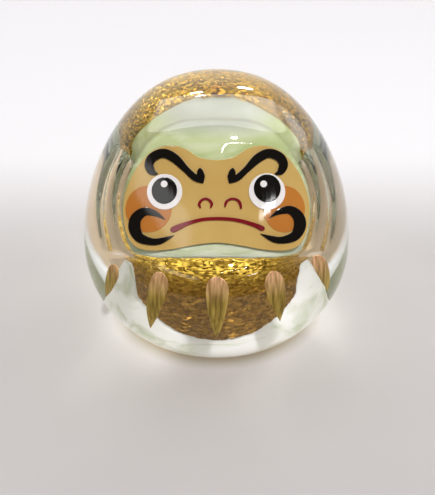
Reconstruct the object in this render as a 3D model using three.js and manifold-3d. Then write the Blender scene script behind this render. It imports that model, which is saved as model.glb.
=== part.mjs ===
// A solid glass daruma doll: a clear egg-shaped body with a flat base and a face facet,
// a milk-glass core wrapped in gold leaf inside it, an enamel face on the facet, and five
// gold brush strokes on the belly.
//
// Millimetres, +Z up. The origin is the centre of the flat base and the face looks along -Y.
// Left and right are a viewer's, facing the doll: left is -X and right is +X.

import * as THREE from 'three';
import { mergeVertices } from 'three/addons/utils/BufferGeometryUtils.js';
import Module from 'manifold-3d';

const wasm = await Module();
wasm.setup();

// ---- driving dimensions ------------------------------------------------------------------

// An egg is a dome above its widest level and part of an ellipse below it, cut off flat.
// dome is the power that fills the shoulders out, and taper narrows them.
const BODY = { top: 59.5, radius: 31.6, widest: 19.4, drop: 27.1, dome: 0.68, taper: 0.17 };
// The core, [radius, height] up its side: a broad bowl, a waist behind the face, a full crown.
const CORE_OUTLINE = [
  [10.5, 0.3], [13.0, 1.5], [15.0, 4.0], [16.0, 8.0], [16.1, 12.0], [15.9, 18.0], [15.4, 24.0],
  [14.4, 29.0], [13.9, 34.0], [15.0, 38.5], [17.2, 42.5], [17.0, 46.0], [14.9, 49.0],
  [11.8, 51.6], [8.2, 53.4], [4.2, 54.4],
];
const CORE_TOP = 54.8;

const AROUND = 48;            // sides of the body and of everything that follows it
const CORE_AROUND = 40;       // sides of the core and its gold leaf
const CORE_ROWS = 26;         // rows up the core's side
const DOME_STEPS = 10;        // rows above the widest level
const BOWL_STEPS = 6;         // rows below it

// The facet is a shallow cylinder whose axis leans back with the forehead.
const FACET = {
  centre: new THREE.Vector3(0, -22.7, 38),
  lean: THREE.MathUtils.degToRad(28),
  crown: 60,                  // radius of the facet across the face
  halfWidth: 26,
  halfHeight: 34,
  steps: 14,
};
// The belly's lip closes the facet below: a wide arch, lower at its ends, that falls away
// outwards by slope millimetres for each millimetre.
const LIP = { height: 29.6, halfSpan: 24, sag: 3.2, slope: 0.97, start: 27.2 };

const CLEAR_OVER_BACKING = 0.9;
const FIT = 0.3;              // gap between fused pieces
const BACKING_DEPTH = 6.5;    // how far the milk glass swells back behind the face
const BACKING_ROUND = 3.5;    // how far its rear edge is rounded
const LEAF_THICKNESS = 0.5;
const LEAF_WAIST = 42;        // the crown's leaf ends here, above the waist
const LEAF_SEAM = 30.5;       // the belly's leaf starts here
// The belly's leaf is rounded off below: half an ellipse seen from the front and the back.
const LEAF_PATCH = { top: 22, halfWidth: 16.4, drop: 14 };

// The enamel is fired in five coats, each with its own height above the facet.
const COAT = { gap: 0.06, thickness: 0.12 };
const COATS = { ground: 0, cheek: 1, eyeWhite: 2, ink: 3, glint: 4 };
const STROKE = { gap: 0.08, thickness: 0.22 };

// ---- materials ---------------------------------------------------------------------------

function finish(color, roughness, metalness = 0) {
  return new THREE.MeshStandardMaterial({ color, roughness, metalness });
}

const FINISHES = {
  clearGlass: finish('#e9efe6', 0.03),
  milkGlass: finish('#cfdcb4', 0.2),
  goldLeaf: finish('#b8892a', 0.3, 1),
  goldPaint: finish('#9a8038', 0.4, 1),
  skin: finish('#d3aa5f', 0.15),
  blush: finish('#bd7430', 0.15),
  white: finish('#f3f1ea', 0.15),
  black: finish('#0b0a0a', 0.12),
  red: finish('#7d1420', 0.15),
};

// ---- solids ------------------------------------------------------------------------------

function solidFrom(geometry) {
  const bare = geometry.clone();
  bare.deleteAttribute('normal');
  bare.deleteAttribute('uv');
  const merged = mergeVertices(bare, 1e-5);
  return new wasm.Manifold(new wasm.Mesh({
    numProp: 3,
    vertProperties: new Float32Array(merged.attributes.position.array),
    triVerts: new Uint32Array(merged.index.array),
  }));
}

function meshFrom(name, solid, material) {
  const { vertProperties, triVerts } = solid.getMesh();
  const geometry = new THREE.BufferGeometry();
  geometry.setAttribute('position', new THREE.BufferAttribute(vertProperties, 3));
  geometry.setIndex(new THREE.BufferAttribute(triVerts, 1));
  geometry.computeVertexNormals();
  const mesh = new THREE.Mesh(geometry, material);
  mesh.name = name;
  return mesh;
}

// A profile of Vector2(radius, height) turned about the Z axis.
function turned(profile, around) {
  const geometry = new THREE.LatheGeometry(profile, around);
  geometry.rotateX(Math.PI / 2);
  return solidFrom(geometry);
}

// ---- egg profiles ------------------------------------------------------------------------

function bowlPoint(egg, angle) {
  return new THREE.Vector2(
    egg.radius * Math.cos(angle),
    egg.widest - egg.drop * Math.sin(angle),
  );
}

function domePoint(egg, angle) {
  const fullness = Math.cos(angle) ** egg.dome;
  const narrowing = 1 - egg.taper * Math.sin(angle) ** 2;
  return new THREE.Vector2(
    egg.radius * fullness * narrowing,
    egg.widest + (egg.top - egg.widest) * Math.sin(angle),
  );
}

// The egg's outline from its base to just under its top, without the two points on the axis.
function eggSide(egg) {
  const lowest = Math.asin(egg.widest / egg.drop);
  const side = [];
  for (let i = 0; i < BOWL_STEPS; i += 1) {
    side.push(bowlPoint(egg, lowest * (1 - i / BOWL_STEPS)));
  }
  for (let i = 0; i < DOME_STEPS; i += 1) {
    side.push(domePoint(egg, (Math.PI / 2) * (i / DOME_STEPS)));
  }
  return side;
}

// The same outline moved out along its own normals.
function grown(side, distance) {
  return side.map((point, i) => {
    const before = side[Math.max(i - 1, 0)];
    const after = side[Math.min(i + 1, side.length - 1)];
    const along = after.clone().sub(before).normalize();
    return new THREE.Vector2(point.x + along.y * distance, point.y - along.x * distance);
  });
}

function eggSolid(egg, around) {
  const profile = [new THREE.Vector2(0, 0), ...eggSide(egg), new THREE.Vector2(0, egg.top)];
  return turned(profile, around);
}

// The core's side from its foot up, moved out by growth. The last point is on the axis.
function coreSide(growth) {
  const outline = CORE_OUTLINE.map(([radius, height]) => new THREE.Vector2(radius, height));
  const side = grown(new THREE.SplineCurve(outline).getPoints(CORE_ROWS), growth);
  return [...side, new THREE.Vector2(0, CORE_TOP + growth)];
}

// The core moved out by growth and cut off flat at its foot.
function coreSolid(growth, foot) {
  const side = coreSide(growth);
  side[0].y = foot;
  return turned([new THREE.Vector2(0, foot), ...side], CORE_AROUND);
}

// The part of an outline between two heights, with its cut ends found on the outline.
function sideBetween(side, low, high) {
  const ends = [low, high].map((height) => {
    const i = side.findIndex((point) => point.y > height);
    const share = (height - side[i - 1].y) / (side[i].y - side[i - 1].y);
    return side[i - 1].clone().lerp(side[i], share);
  });
  const between = side.filter((point) => point.y > low && point.y < high);
  return [ends[0], ...between, ends[1]];
}

// A band of skin between two outlines, from one height to another.
function band(innerSide, outerSide, around, low, high) {
  const inner = sideBetween(innerSide, low, high);
  const outer = sideBetween(outerSide, low, high);
  return turned([...outer, ...inner.reverse(), outer[0].clone()], around);
}

// A cap of the core's skin, from a height up to its top.
function coreCap(low, inner, outer) {
  const [under, over] = [inner, outer].map((growth) => {
    const side = coreSide(growth);
    const top = side[side.length - 1];
    return [...sideBetween(side, low, top.y - 1e-3).slice(0, -1), top];
  });
  return turned([...under.reverse(), ...over], CORE_AROUND);
}

// ---- the facet and what lies on it -------------------------------------------------------

// The facet's frame: x across the face, y up it, z out of it.
const FACET_FRAME = new THREE.Matrix4()
  .makeBasis(
    new THREE.Vector3(1, 0, 0),
    new THREE.Vector3(0, Math.sin(FACET.lean), Math.cos(FACET.lean)),
    new THREE.Vector3(0, -Math.cos(FACET.lean), Math.sin(FACET.lean)),
  )
  .setPosition(FACET.centre);

function crownArc(height) {
  const reach = Math.asin(FACET.halfWidth / FACET.crown);
  const radius = FACET.crown + height;
  const arc = [];
  for (let i = 0; i <= FACET.steps; i += 1) {
    const angle = reach * (2 * (i / FACET.steps) - 1);
    arc.push(new THREE.Vector2(
      radius * Math.sin(angle),
      radius * Math.cos(angle) - FACET.crown,
    ));
  }
  return arc;
}

// Everything between two heights above the crowned facet.
function facetLayer(low, high) {
  const section = new THREE.Shape([...crownArc(low), ...crownArc(high).reverse()]);
  const length = 2 * FACET.halfHeight;
  const geometry = new THREE.ExtrudeGeometry(section, { depth: length, bevelEnabled: false });
  geometry.rotateX(Math.PI / 2);
  geometry.translate(0, FACET.halfHeight, 0);
  geometry.applyMatrix4(FACET_FRAME);
  return solidFrom(geometry);
}

// One coat of enamel: an outline drawn on the facet, fired at its coat's height.
function enamel(outline, coat) {
  const reach = 12;           // deeper than the crowned facet falls away
  const prism = new THREE.ExtrudeGeometry(outline, {
    depth: 2 * reach,
    bevelEnabled: false,
    curveSegments: 8,
  });
  prism.translate(0, 0, -reach);
  prism.applyMatrix4(FACET_FRAME);
  const low = COAT.gap + coat * (COAT.gap + COAT.thickness);
  return solidFrom(prism).intersect(facetLayer(low, low + COAT.thickness));
}

// The facet's cutter stops at the belly's lip, an arch seen from the front. It is sheared to make
// the lip fall away, so its own arch is deeper by what the shear lifts it at the facet's sides.
function facetCutter() {
  const above = 70;
  const crownDrop = FACET.crown - Math.sqrt(FACET.crown ** 2 - LIP.halfSpan ** 2);
  const sag = LIP.sag + LIP.slope * (crownDrop / Math.cos(FACET.lean));
  const radius = (LIP.halfSpan ** 2 + sag ** 2) / (2 * sag);
  const reach = Math.asin(LIP.halfSpan / radius);
  const window = new THREE.Shape();
  window.moveTo(LIP.halfSpan, above);
  window.lineTo(-LIP.halfSpan, above);
  window.absarc(0, LIP.height - radius, radius, Math.PI / 2 + reach, Math.PI / 2 - reach, true);
  window.closePath();
  const prism = new THREE.ExtrudeGeometry(window, {
    depth: 2 * BODY.radius,
    bevelEnabled: false,
    curveSegments: 8,
  });
  prism.rotateX(Math.PI / 2);
  prism.translate(0, LIP.start, 0);
  prism.applyMatrix4(new THREE.Matrix4().makeShear(0, 0, 0, LIP.slope, 0, 0));
  prism.translate(0, -LIP.start, 0);
  return solidFrom(prism).intersect(facetLayer(0, BODY.radius));
}

// ---- brush strokes -----------------------------------------------------------------------

// A stroke of a loaded brush: a smooth line through points [x, y, width].
function brushStroke(points, steps = 20) {
  const line = new THREE.SplineCurve(points.map(([x, y]) => new THREE.Vector2(x, y)));
  const widths = new THREE.SplineCurve(points.map(([, , width], i) => new THREE.Vector2(i, width)));
  const left = [];
  const right = [];
  for (let i = 0; i <= steps; i += 1) {
    const share = i / steps;
    const centre = line.getPoint(share);
    const along = line.getTangent(share);
    const half = widths.getPoint(share).y / 2;
    left.push(new THREE.Vector2(centre.x - along.y * half, centre.y + along.x * half));
    right.push(new THREE.Vector2(centre.x + along.y * half, centre.y - along.x * half));
  }
  return new THREE.Shape([...right, ...left.reverse()]);
}

function disc(x, y, radiusX, radiusY = radiusX) {
  return new THREE.Shape().absellipse(x, y, radiusX, radiusY, 0, 2 * Math.PI);
}

function mirrored(points) {
  return points.map(([x, ...rest]) => [-x, ...rest]);
}

// A smooth outline, the same on both sides of the middle, from its top round to its bottom.
function evenOutline(top, half, bottom) {
  const points = [[0, top], ...half, [0, bottom], ...mirrored(half).reverse(), [0, top]];
  const curve = new THREE.SplineCurve(points.map(([x, y]) => new THREE.Vector2(x, y)));
  return new THREE.Shape(curve.getPoints(3 * points.length).slice(0, -1));
}

// ---- the sub-parts -----------------------------------------------------------------------

// Half of the edge of the milk glass behind the face, [across, up] below the forehead's middle.
const BACKING_HALF = [
  [6.5, 19.0], [11.2, 17.3], [14.0, 14.9], [16.0, 12.2], [18.5, 7.8], [20.0, 2.0],
  [19.6, -3.6], [17.9, -7.8], [14.6, -9.4], [9.6, -9.8], [4.6, -9.7],
];
// The same for the opening in the gold leaf, which leaves more of the forehead bare.
const WINDOW_HALF = [
  [4.6, 22.8], [7.6, 21.2], [8.9, 18.2], [10.4, 15.7], [13.8, 13.4], [18.0, 9.4], [21.0, 4.0],
  [21.1, -4.0], [19.0, -8.6], [15.0, -10.0], [9.6, -10.2], [4.6, -10.2],
];

// The milk glass swells forward to back the whole facet, with a rounded rear edge.
function faceBacking(growth) {
  const swelling = new THREE.ExtrudeGeometry(evenOutline(19.2, BACKING_HALF, -9.7), {
    depth: 2 * BACKING_DEPTH,
    bevelThickness: BACKING_ROUND,
    bevelSize: BACKING_ROUND,
    bevelOffset: growth - BACKING_ROUND,
    bevelSegments: 4,
  });
  const rear = BACKING_ROUND - BACKING_DEPTH - CLEAR_OVER_BACKING - growth;
  swelling.translate(0, 0, rear);
  swelling.applyMatrix4(FACET_FRAME);
  return solidFrom(swelling).intersect(facetLayer(-BODY.radius, growth - CLEAR_OVER_BACKING));
}

function milkGlassCore() {
  const core = coreSolid(0, CORE_OUTLINE[0][1]).add(faceBacking(0));
  return meshFrom('milk_glass_core', core, FINISHES.milkGlass);
}

// The casing is cast round everything inside it, so its pocket follows the leafed core.
function clearGlassCasing() {
  const belowBase = -1;
  const casing = eggSolid(BODY, AROUND)
    .subtract(facetCutter())
    .subtract(coreSolid(2 * FIT + LEAF_THICKNESS, belowBase))
    .subtract(faceBacking(FIT));
  return meshFrom('clear_glass_casing', casing, FINISHES.clearGlass);
}

// The crown's leaf is open over the forehead, down to the depth of the backing.
function goldLeafCrown() {
  const windowDepth = 11;
  const window = new THREE.ExtrudeGeometry(evenOutline(23.0, WINDOW_HALF, -10.2), {
    depth: 2 * windowDepth,
    bevelEnabled: false,
  });
  window.translate(0, 0, -windowDepth);
  window.applyMatrix4(FACET_FRAME);
  const crown = coreCap(LEAF_WAIST, FIT, FIT + LEAF_THICKNESS)
    .subtract(solidFrom(window))
    .subtract(faceBacking(FIT));
  return meshFrom('gold_leaf_crown', crown, FINISHES.goldLeaf);
}

function goldLeafBelly() {
  const beyond = 2 * LEAF_PATCH.halfWidth;
  const patch = new THREE.Shape();
  patch.moveTo(LEAF_PATCH.halfWidth, LEAF_PATCH.top);
  patch.lineTo(beyond, LEAF_PATCH.top);
  patch.lineTo(beyond, CORE_TOP);
  patch.lineTo(-beyond, CORE_TOP);
  patch.lineTo(-beyond, LEAF_PATCH.top);
  patch.lineTo(-LEAF_PATCH.halfWidth, LEAF_PATCH.top);
  patch.absellipse(0, LEAF_PATCH.top, LEAF_PATCH.halfWidth, LEAF_PATCH.drop, Math.PI, 2 * Math.PI);
  const prism = new THREE.ExtrudeGeometry(patch, { depth: 2 * beyond, bevelEnabled: false });
  prism.rotateX(Math.PI / 2);
  prism.translate(0, beyond, 0);
  const hem = LEAF_PATCH.top - LEAF_PATCH.drop;
  const belly = band(coreSide(FIT), coreSide(FIT + LEAF_THICKNESS), CORE_AROUND, hem, LEAF_SEAM)
    .intersect(solidFrom(prism))
    .subtract(faceBacking(FIT));
  return meshFrom('gold_leaf_belly', belly, FINISHES.goldLeaf);
}

// The skin colour dips between the brows and rises under the chin.
function faceGround() {
  const half = [
    [3.5, 11.0], [6.6, 12.9], [10.2, 13.5], [14.2, 11.9], [17.8, 7.2], [19.6, 1.8],
    [19.3, -3.6], [17.5, -7.1], [14.4, -8.3], [9.6, -8.1], [4.6, -7.2],
  ];
  const shape = evenOutline(10.4, half, -6.7);
  return meshFrom('face_ground', enamel(shape, COATS.ground), FINISHES.skin);
}

const EYES = {
  left: { x: -10.7, y: 3.9, white: 3.7, pupil: 2.65, pupilY: 4.15, glintX: -10.7, cheek: 4.9 },
  right: { x: 10.5, y: 3.95, white: 3.8, pupil: 2.8, pupilY: 4.6, glintX: 9.7, cheek: 4.4 },
};

function eyeAndCheek(side) {
  const eye = EYES[side];
  const cheek = disc(Math.sign(eye.x) * 14.2, 0.35, eye.cheek, 4.9);
  const white = disc(eye.x, eye.y, eye.white);
  const pupil = disc(eye.x, eye.pupilY, eye.pupil, eye.pupil * 1.04);
  const glint = disc(eye.glintX, 5.5, 0.7);
  return [
    meshFrom(`cheek_${side}`, enamel(cheek, COATS.cheek), FINISHES.blush),
    meshFrom(`eye_white_${side}`, enamel(white, COATS.eyeWhite), FINISHES.white),
    meshFrom(`pupil_${side}`, enamel(pupil, COATS.ink), FINISHES.black),
    meshFrom(`eye_glint_${side}`, enamel(glint, COATS.glint), FINISHES.white),
  ];
}

// The brow starts in a curl beside the eye and ends in a barb over the nose.
const BROW = [
  [12.1, 7.6, 0.3], [13.3, 8.2, 1.5], [13.9, 9.7, 1.9], [13.0, 11.2, 2.0],
  [10.8, 11.9, 1.9], [8.5, 10.8, 1.9], [6.2, 8.5, 1.35], [4.3, 6.7, 1.3], [2.7, 5.6, 0.1],
];
const BROW_BARB = [[2.7, 5.6, 0.2], [3.1, 6.8, 1.6], [3.3, 8.2, 1.2], [3.3, 8.8, 0.2]];

// The moustache is one thick curl round the mouth's corner.
const MOUSTACHE = [
  [10.5, -1.9, 0.1], [12.5, -0.65, 1.1], [14.8, -0.2, 1.8], [16.6, -1.5, 2.4],
  [17.0, -3.5, 2.6], [15.9, -5.6, 2.1], [13.2, -6.5, 1.5], [11.1, -6.2, 1.2], [8.7, -5.2, 0.1],
];
const MOUSTACHE_SHIFT = { left: [0, 0], right: [0.4, 0.35] };

function eyebrow(side) {
  const place = side === 'left' ? mirrored : (points) => points;
  const brow = enamel(brushStroke(place(BROW), 20), COATS.ink);
  const barb = enamel(brushStroke(place(BROW_BARB), 6), COATS.ink);
  return meshFrom(`eyebrow_${side}`, brow.add(barb), FINISHES.black);
}

function moustache(side) {
  const [shiftX, shiftY] = MOUSTACHE_SHIFT[side];
  const shifted = MOUSTACHE.map(([x, y, width]) => [x + shiftX, y + shiftY, width]);
  const points = side === 'left' ? mirrored(shifted) : shifted;
  const curl = enamel(brushStroke(points, 20), COATS.ink);
  return meshFrom(`moustache_${side}`, curl, FINISHES.black);
}

const NOSTRILS = {
  left: [
    [-3.2, 0.5, 0.3], [-3.5, 1.3, 0.6], [-3.0, 2.1, 0.55], [-2.2, 2.4, 0.5], [-1.4, 2.1, 0.55],
    [-0.9, 1.3, 0.6], [-1.2, 0.5, 0.3],
  ],
  right: [
    [1.8, 0.7, 0.3], [2.0, 1.6, 0.6], [2.6, 2.2, 0.55], [3.5, 2.4, 0.5], [4.4, 2.1, 0.55],
    [4.9, 1.4, 0.6], [5.1, 0.3, 0.4],
  ],
};

function nostril(side) {
  const arch = enamel(brushStroke(NOSTRILS[side], 10), COATS.ink);
  return meshFrom(`nostril_${side}`, arch, FINISHES.red);
}

function mouth() {
  const frown = [
    [-9.3, -4.3, 0.5], [-8.7, -3.9, 1.25], [-5.9, -2.7, 0.85], [-2.9, -1.9, 0.7], [0.6, -1.7, 0.7],
    [4.2, -2.0, 0.75], [7.5, -2.9, 0.85], [9.4, -3.7, 1.05], [9.9, -4.0, 0.4],
  ];
  return meshFrom('mouth', enamel(brushStroke(frown, 18), COATS.ink), FINISHES.red);
}

// Each belly stroke is a leaf [across, up, width] at its own bearing round the body.
const BELLY_STROKES = {
  far_left: {
    bearing: -47.5,
    leaf: [[2.5, 25.0, 0.4], [2.2, 24.3, 2.2], [1.3, 22.6, 3.4], [-0.6, 18.6, 2.4], [-2.6, 14.8, 0.1]],
  },
  left: {
    bearing: -24,
    leaf: [[1.4, 26.8, 0.6], [1.2, 25.9, 3.0], [0.8, 23.4, 4.2], [-0.8, 17.0, 3.0], [-2.2, 11.6, 0.2]],
  },
  centre: {
    bearing: 0,
    leaf: [[0.1, 27.0, 0.6], [0.1, 26.0, 3.4], [0.2, 23.4, 4.7], [0.1, 17.0, 3.1], [0.0, 11.2, 0.2]],
  },
  right: {
    bearing: 23.5,
    leaf: [[-0.9, 27.0, 0.6], [-0.8, 26.0, 3.2], [-0.3, 23.4, 4.5], [0.7, 18.6, 3.0], [1.4, 14.2, 0.1]],
  },
  far_right: {
    bearing: 46.5,
    leaf: [[-2.7, 27.3, 0.4], [-2.2, 26.5, 2.2], [-0.4, 24.4, 3.7], [1.6, 20.4, 2.8], [2.9, 16.6, 0.1]],
  },
};
// The strokes all lie between these heights.
const STROKES_REACH = { low: 8, high: 29 };

function bellyStroke(side) {
  const { bearing, leaf } = BELLY_STROKES[side];
  const turn = THREE.MathUtils.degToRad(bearing);
  const across = new THREE.Vector3(Math.cos(turn), Math.sin(turn), 0);
  const outward = new THREE.Vector3(Math.sin(turn), -Math.cos(turn), 0);
  const up = new THREE.Vector3(0, 0, 1);
  const prism = new THREE.ExtrudeGeometry(brushStroke(leaf, 10), {
    depth: BODY.radius,
    bevelEnabled: false,
  });
  prism.translate(0, 0, BODY.radius / 2);
  prism.applyMatrix4(new THREE.Matrix4().makeBasis(across, up, outward));
  const inner = grown(eggSide(BODY), STROKE.gap);
  const outer = grown(eggSide(BODY), STROKE.gap + STROKE.thickness);
  const skin = band(inner, outer, AROUND, STROKES_REACH.low, STROKES_REACH.high);
  const stroke = solidFrom(prism).intersect(skin);
  return meshFrom(`belly_stroke_${side}`, stroke, FINISHES.goldPaint);
}

// ---- assembly ----------------------------------------------------------------------------

const doll = new THREE.Group();
doll.add(clearGlassCasing(), milkGlassCore(), goldLeafCrown(), goldLeafBelly(), faceGround());
for (const side of ['left', 'right']) {
  doll.add(...eyeAndCheek(side), eyebrow(side), moustache(side), nostril(side));
}
doll.add(mouth());
for (const side of Object.keys(BELLY_STROKES)) {
  doll.add(bellyStroke(side));
}

export default doll;
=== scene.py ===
"""Looks for the glass daruma doll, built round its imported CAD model.

Lengths below are millimetres in the model's own frame (+Z up, the face looks along -Y, the
origin is the centre of the base) and become metres when a mesh is made.
"""

import functools
import math

import bmesh
import bpy
import numpy as np
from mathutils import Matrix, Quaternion, Vector


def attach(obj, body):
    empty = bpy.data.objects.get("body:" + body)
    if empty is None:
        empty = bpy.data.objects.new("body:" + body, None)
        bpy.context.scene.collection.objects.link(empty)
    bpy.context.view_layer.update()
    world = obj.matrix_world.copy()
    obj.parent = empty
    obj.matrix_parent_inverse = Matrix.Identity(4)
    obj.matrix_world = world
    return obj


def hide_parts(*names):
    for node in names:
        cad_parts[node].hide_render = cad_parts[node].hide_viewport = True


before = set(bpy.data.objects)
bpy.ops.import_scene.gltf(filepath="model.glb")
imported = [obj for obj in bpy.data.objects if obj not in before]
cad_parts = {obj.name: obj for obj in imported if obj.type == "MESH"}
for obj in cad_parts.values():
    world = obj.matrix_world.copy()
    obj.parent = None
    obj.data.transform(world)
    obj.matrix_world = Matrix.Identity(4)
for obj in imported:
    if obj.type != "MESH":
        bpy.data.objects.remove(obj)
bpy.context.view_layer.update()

MM = 0.001
RANDOM = np.random.default_rng(7)

# ---- driving dimensions -------------------------------------------------------------------

# An egg is a dome above its widest level and part of an ellipse below it, cut off flat.
BODY = dict(top=59.5, radius=31.6, widest=19.4, drop=27.1, dome=0.68, taper=0.17)
# The core's outline, (height, radius): a full crown, a waist behind the face and a broad bowl.
CORE_OUTLINE = [
    (0.3, 10.5), (1.5, 13.0), (4.0, 15.0), (8.0, 16.0), (12.0, 16.1), (18.0, 15.9), (24.0, 15.4),
    (29.0, 14.4), (34.0, 13.9), (38.5, 15.0), (42.5, 17.2), (46.0, 17.0), (49.0, 14.9),
    (51.6, 11.8), (53.4, 8.2), (54.4, 4.2),
]
CORE_TOP = 54.8
CORE_FOOT = 0.3
CORE_MIDDLE = np.array([0.0, -3.0, 34.0])
SEARCH = dict(far=39.0, step=0.2, halvings=20)       # looking for the core's surface
# Half of the milk glass's edge behind the face, (across, up) from the forehead to the chin.
BACKING_HALF = [
    (0.0, 19.2), (6.5, 19.0), (11.2, 17.3), (14.0, 14.9), (16.0, 12.2), (18.5, 7.8), (20.0, 2.0),
    (19.6, -3.6), (17.9, -7.8), (14.6, -9.4), (9.6, -9.8), (4.6, -9.7), (0.0, -9.7),
]

FACET_CENTRE = np.array([0.0, -22.7, 38.0])
FACET_LEAN = math.radians(28)
FACET_CROWN = 60.0
FACET_OUT = np.array([0.0, -math.cos(FACET_LEAN), math.sin(FACET_LEAN)])
FACET_UP = np.array([0.0, math.sin(FACET_LEAN), math.cos(FACET_LEAN)])
FACET_EDGE = 2.4              # how far the facet's edge is melted round
FACET_BROW = dict(start=47.0, over=8.0, more=5.0)    # the same, higher up, where it's rounder
LIP = dict(height=29.6, half_span=24.0, sag=3.2, push=8.0, slope=14.0, round=5.0, over=3.0)

CLEAR_OVER_BACKING = 0.9
# The milk glass behind the face: its depth, its usual reach (which turns shares of its outline
# into millimetres) and how widely its rim, its joint with the core and its front are rounded.
BACKING = dict(depth=18.0, reach=12.0, rim=2.2, joint=4.5, front=1.0)
# Half of the opening in the gold leaf, which leaves more of the forehead bare.
WINDOW_HALF = [
    (0.0, 23.0), (4.6, 22.8), (7.6, 21.2), (8.9, 18.2), (10.4, 15.7), (13.8, 13.4), (18.0, 9.4),
    (21.0, 4.0), (21.1, -4.0), (19.0, -8.6), (15.0, -10.0), (9.6, -10.2), (4.6, -10.2),
    (0.0, -10.2),
]
WINDOW_DEPTH = 11.0
# A groove runs round the face where the tool pressed it, and fades out below the forehead.
GROOVE = dict(at=1.07, half_width=0.035, depth=0.9, ends=14.0, fade=6.0)
# A crease farther out marks off the lobes at the sides of the face.
CREASE = dict(at=1.27, half_width=0.045, depth=0.6, high=16.0, low=-10.0, fade=5.0)

LEAF_WAIST = 42.0             # where the crown's leaf ends
LEAF_SEAM = dict(height=30.5, sag=5.0, half_width=16.0)     # where the belly's leaf begins
LEAF_PATCH = dict(top=22.0, half_width=16.4, drop=14.0)     # and its rounded hem
LEAF_RAGGED = dict(waist=0.5, window=0.015, hem=0.125)      # how uneven its edges are
LEAF_GAP = 0.2
LEAF_THICKNESS = 0.3
LEAF_JITTER = 0.035           # how far the outside's points stray in and out

# How finely the glasses and the leaf are divided. The grids are (rows, columns).
CASING_MESH = dict(spacing=0.48, relaxing=5, columns=400)
CORE_GRID = (150, 240)
CROWN_GRID = (90, 300)
BELLY_GRID = (80, 300)

# strips: how far apart a mark is cut across and up, so that it can bend. 0 is not at all.
COAT = dict(gap=0.06, thickness=0.12, round=0.05, strips=(1.0, 0))
COATS = dict(ground=0, cheek=1, eye_white=2, ink=3, glint=4)
STROKE = dict(gap=0.08, thickness=0.22, round=0.09, strips=(0.6, 0.6))

# ---- meshes -------------------------------------------------------------------------------


def add_piece(name, points, faces, material, nodes=None, smooth=True):
    """A mesh piece of the doll, from points in millimetres."""
    mesh = bpy.data.meshes.new(name)
    mesh.from_pydata((np.asarray(points) * MM).tolist(), [], faces)
    mesh.validate()
    mesh.materials.append(material)
    mesh.polygons.foreach_set("use_smooth", [smooth] * len(mesh.polygons))
    piece = bpy.data.objects.new(name, mesh)
    bpy.context.scene.collection.objects.link(piece)
    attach(piece, "root")
    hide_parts(*(nodes or [name]))
    return piece


def smoothstep(value):
    value = np.clip(value, 0, 1)
    return value * value * (3 - 2 * value)


def smooth_max(a, b, radius):
    near = np.maximum(radius - np.abs(a - b), 0) / radius
    return np.maximum(a, b) + near * near * radius / 4


def smooth_min(a, b, radius):
    return -smooth_max(-a, -b, radius)


# ---- the eggs -----------------------------------------------------------------------------


def egg_radius(egg, z):
    """The egg's radius at each height."""
    z = np.asarray(z, float)
    below = np.clip((egg["widest"] - z) / egg["drop"], 0, 1)
    bowl = egg["radius"] * np.sqrt(1 - below**2)
    above = np.clip((z - egg["widest"]) / (egg["top"] - egg["widest"]), 0, 1)
    fullness = (1 - above**2) ** (egg["dome"] / 2)
    dome = egg["radius"] * fullness * (1 - egg["taper"] * above**2)
    return np.where(z < egg["widest"], bowl, dome)


def egg_profile(egg, spacing):
    """Evenly spaced (radius, height) points from the middle of the base to the top."""
    angle = np.linspace(0, math.pi / 2, 400)
    heights = egg["widest"] + (egg["top"] - egg["widest"]) * np.sin(angle)
    heights = np.concatenate([np.linspace(0, egg["widest"], 200)[:-1], heights])
    side = np.stack([egg_radius(egg, heights), heights], 1)
    side[-1, 0] = 0
    outline = np.concatenate([[[0.0, 0.0]], side])
    steps = np.linalg.norm(np.diff(outline, axis=0), axis=1)
    along = np.concatenate([[0], np.cumsum(steps)])
    count = int(along[-1] / spacing)
    wanted = np.linspace(0, along[-1], count)
    return np.stack([np.interp(wanted, along, outline[:, i]) for i in (0, 1)], 1)


def relaxed(profile, rounds):
    """The profile with its corners rounded off and its two ends kept."""
    profile = profile.copy()
    for _ in range(rounds):
        profile[1:-1] = (profile[:-2] + 2 * profile[1:-1] + profile[2:]) / 4
    return profile


def revolved(profile, columns):
    """Points and faces of a profile turned about Z, with a single point at each end."""
    turn = np.linspace(0, 2 * math.pi, columns, endpoint=False)
    rings = profile[1:-1]
    x = np.outer(rings[:, 0], np.sin(turn))
    y = np.outer(rings[:, 0], -np.cos(turn))
    z = np.outer(rings[:, 1], np.ones(columns))
    points = np.stack([x, y, z], 2).reshape(-1, 3)
    foot, top = len(points), len(points) + 1
    points = np.vstack([points, [0, 0, profile[0, 1]], [0, 0, profile[-1, 1]]])
    faces = []
    for row in range(len(rings) - 1):
        for column in range(columns):
            after = (column + 1) % columns
            a, b = row * columns + column, row * columns + after
            faces.append((a, b, b + columns, a + columns))
    last = (len(rings) - 1) * columns
    for column in range(columns):
        after = (column + 1) % columns
        faces.append((foot, after, column))
        faces.append((top, last + column, last + after))
    return points, faces


# ---- the facet ----------------------------------------------------------------------------


def crown_drop(x):
    """How far the crowned facet falls away from its middle line."""
    return FACET_CROWN - np.sqrt(np.maximum(FACET_CROWN**2 - x**2, 0))


def facet_coordinates(points):
    """(across, up, height above the facet) of each point."""
    offset = points - FACET_CENTRE
    across = points[:, 0]
    return across, offset @ FACET_UP, offset @ FACET_OUT + crown_drop(across)


def on_facet(across, up, height):
    """The points at these facet coordinates."""
    tilt = np.arcsin(np.clip(across / FACET_CROWN, -1, 1))
    radius = FACET_CROWN + height
    x = radius * np.sin(tilt)
    out = radius * np.cos(tilt) - FACET_CROWN
    return (
        FACET_CENTRE
        + np.outer(x, [1, 0, 0])
        + np.outer(up, FACET_UP)
        + np.outer(out, FACET_OUT)
    )


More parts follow.
